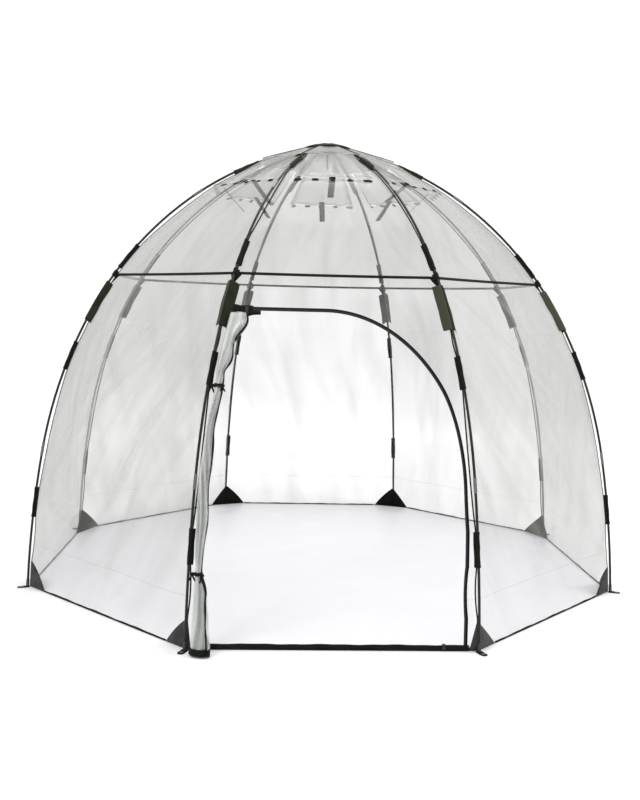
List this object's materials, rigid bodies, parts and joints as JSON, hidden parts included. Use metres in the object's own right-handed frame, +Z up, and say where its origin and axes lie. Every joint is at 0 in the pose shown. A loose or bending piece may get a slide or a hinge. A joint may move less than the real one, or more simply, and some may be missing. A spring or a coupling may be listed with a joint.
{
  "type": "pop up greenhouse",
  "caption": "Eight-sided walk-in greenhouse dome: sprung outside poles, clear film cover with roof vents, a floor sheet and a zipped doorway.",
  "frame": {"origin": "on the ground at the centre of the dome", "axes": "+Z up through the crown; the doorway faces -Y; +X is to the right when looking in through the doorway"},
  "size_m": [2.8596, 2.8596, 2.1715],
  "materials": {
    "clear_film": "clear flexible film, glossy, lightly creased",
    "vent_film": "doubled clear film, slightly grey",
    "gathered_film": "clear film in many folds",
    "floor_film": "white film",
    "pole_rod": "glass-fibre rod, dark and glossy",
    "ferrule_metal": "drawn steel tube",
    "elastic_cord": "braided sheath",
    "hub_plastic": "moulded, fine texture",
    "cap_fabric": "coated woven cloth",
    "black_webbing": "woven tape",
    "olive_fabric": "coated woven cloth, olive green",
    "prop_strap": "stiffened strap with a hook-tape end",
    "hook_tape": "hook-and-loop tape",
    "zip_tape": "woven tape with moulded teeth",
    "slider_metal": "black painted casting",
    "eyelet_metal": "pressed eyelet"
  },
  "bodies": {
    "root": {"crown_hub": "hub_plastic", "crown_cap": "cap_fabric", "crown_hood": "vent_film", "pole_1": "pole_rod", "pole_2": "pole_rod", "pole_3": "pole_rod", "pole_4": "pole_rod", "pole_5": "pole_rod", "pole_6": "pole_rod", "pole_7": "pole_rod", "pole_8": "pole_rod", "pole_ferrules": "ferrule_metal", "pole_tips": "hub_plastic", "shock_cords": "elastic_cord", "pole_tabs": "black_webbing", "pole_sleeves": "olive_fabric", "ring_band": "black_webbing", "wall_panel_1": "clear_film", "wall_panel_2": "clear_film", "wall_panel_3": "clear_film", "wall_panel_4": "clear_film", "wall_panel_5": "clear_film", "wall_panel_6": "clear_film", "wall_panel_8": "clear_film", "door_panel": "clear_film", "roof_panel_1": "clear_film", "roof_panel_2": "clear_film", "roof_panel_3": "clear_film", "roof_panel_4": "clear_film", "roof_panel_5": "clear_film", "roof_panel_6": "clear_film", "roof_panel_7": "clear_film", "roof_panel_8": "clear_film", "vent_dots": "hook_tape", "corner_gussets": "black_webbing", "peg_loops": "black_webbing", "peg_eyelets": "eyelet_metal", "base_hem": "black_webbing", "floor_sheet": "floor_film", "door_zip": "zip_tape"},
    "vent_flap_1": {"vent_flap_1": "vent_film"},
    "vent_flap_2": {"vent_flap_2": "vent_film"},
    "vent_flap_3": {"vent_flap_3": "vent_film"},
    "vent_flap_4": {"vent_flap_4": "vent_film"},
    "vent_flap_5": {"vent_flap_5": "vent_film"},
    "vent_flap_6": {"vent_flap_6": "vent_film"},
    "vent_flap_7": {"vent_flap_7": "vent_film"},
    "vent_flap_8": {"vent_flap_8": "vent_film"},
    "vent_prop_1": {"vent_prop_1": "prop_strap"},
    "vent_prop_2": {"vent_prop_2": "prop_strap"},
    "vent_prop_3": {"vent_prop_3": "prop_strap"},
    "vent_prop_4": {"vent_prop_4": "prop_strap"},
    "vent_prop_5": {"vent_prop_5": "prop_strap"},
    "vent_prop_6": {"vent_prop_6": "prop_strap"},
    "vent_prop_7": {"vent_prop_7": "prop_strap"},
    "vent_prop_8": {"vent_prop_8": "prop_strap"},
    "door_flap": {"door_flap": "gathered_film", "door_ties": "black_webbing"},
    "zip_slider": {"zip_slider": "slider_metal"},
    "sill_slider": {"sill_slider": "slider_metal"}
  },
  "joints": [
    {"name": "vent_1_lift", "type": "hinge", "parent": "root", "child": "vent_flap_1", "pos_m": [0.32933, 0, 2.06828], "axis": [0, -1, 0], "range_deg": [0, 30]},
    {"name": "prop_1_swing", "type": "hinge", "parent": "vent_flap_1", "child": "vent_prop_1", "pos_m": [0.53, 0, 1.93507], "axis": [0, 1, 0], "range_deg": [-60, 55]},
    {"name": "vent_2_lift", "type": "hinge", "parent": "root", "child": "vent_flap_2", "pos_m": [0.23287, 0.23287, 2.06828], "axis": [0.7071, -0.7071, 0], "range_deg": [0, 30]},
    {"name": "prop_2_swing", "type": "hinge", "parent": "vent_flap_2", "child": "vent_prop_2", "pos_m": [0.37477, 0.37477, 1.93507], "axis": [-0.7071, 0.7071, 0], "range_deg": [-57, 58]},
    {"name": "vent_3_lift", "type": "hinge", "parent": "root", "child": "vent_flap_3", "pos_m": [0, 0.32933, 2.06828], "axis": [1, 0, 0], "range_deg": [0, 30]},
    {"name": "prop_3_swing", "type": "hinge", "parent": "vent_flap_3", "child": "vent_prop_3", "pos_m": [0, 0.53, 1.93507], "axis": [-1, 0, 0], "range_deg": [-57, 58]},
    {"name": "vent_4_lift", "type": "hinge", "parent": "root", "child": "vent_flap_4", "pos_m": [-0.23287, 0.23287, 2.06828], "axis": [0.7071, 0.7071, 0], "range_deg": [0, 30]},
    {"name": "prop_4_swing", "type": "hinge", "parent": "vent_flap_4", "child": "vent_prop_4", "pos_m": [-0.37477, 0.37477, 1.93507], "axis": [-0.7071, -0.7071, 0], "range_deg": [-57, 58]},
    {"name": "vent_5_lift", "type": "hinge", "parent": "root", "child": "vent_flap_5", "pos_m": [-0.32933, 0, 2.06828], "axis": [0, 1, 0], "range_deg": [0, 30]},
    {"name": "prop_5_swing", "type": "hinge", "parent": "vent_flap_5", "child": "vent_prop_5", "pos_m": [-0.53, 0, 1.93507], "axis": [0, -1, 0], "range_deg": [-57, 58]},
    {"name": "vent_6_lift", "type": "hinge", "parent": "root", "child": "vent_flap_6", "pos_m": [-0.23287, -0.23287, 2.06828], "axis": [-0.7071, 0.7071, 0], "range_deg": [0, 30]},
    {"name": "prop_6_swing", "type": "hinge", "parent": "vent_flap_6", "child": "vent_prop_6", "pos_m": [-0.37477, -0.37477, 1.93507], "axis": [0.7071, -0.7071, 0], "range_deg": [-64, 51]},
    {"name": "vent_7_lift", "type": "hinge", "parent": "root", "child": "vent_flap_7", "pos_m": [0, -0.32933, 2.06828], "axis": [-1, 0, 0], "range_deg": [0, 30]},
    {"name": "prop_7_swing", "type": "hinge", "parent": "vent_flap_7", "child": "vent_prop_7", "pos_m": [0, -0.53, 1.93507], "axis": [1, 0, 0], "range_deg": [-75, 40]},
    {"name": "vent_8_lift", "type": "hinge", "parent": "root", "child": "vent_flap_8", "pos_m": [0.23287, -0.23287, 2.06828], "axis": [-0.7071, -0.7071, 0], "range_deg": [0, 30]},
    {"name": "prop_8_swing", "type": "hinge", "parent": "vent_flap_8", "child": "vent_prop_8", "pos_m": [0.37477, -0.37477, 1.93507], "axis": [0.7071, 0.7071, 0], "range_deg": [-74, 41]},
    {"name": "door_flap_swing", "type": "hinge", "parent": "root", "child": "door_flap", "pos_m": [-0.54882, -1.37324, 0.034], "axis": [0.0872, 0.2106, 0.9737], "range_deg": [0, 40]},
    {"name": "zip_slide", "type": "slide", "parent": "root", "child": "zip_slider", "axis": [1, 0, 0], "range_m": [0, 0.29]},
    {"name": "sill_zip_slide", "type": "slide", "parent": "root", "child": "sill_slider", "axis": [1, 0, 0], "range_m": [-0.85, 0]}
  ]
}
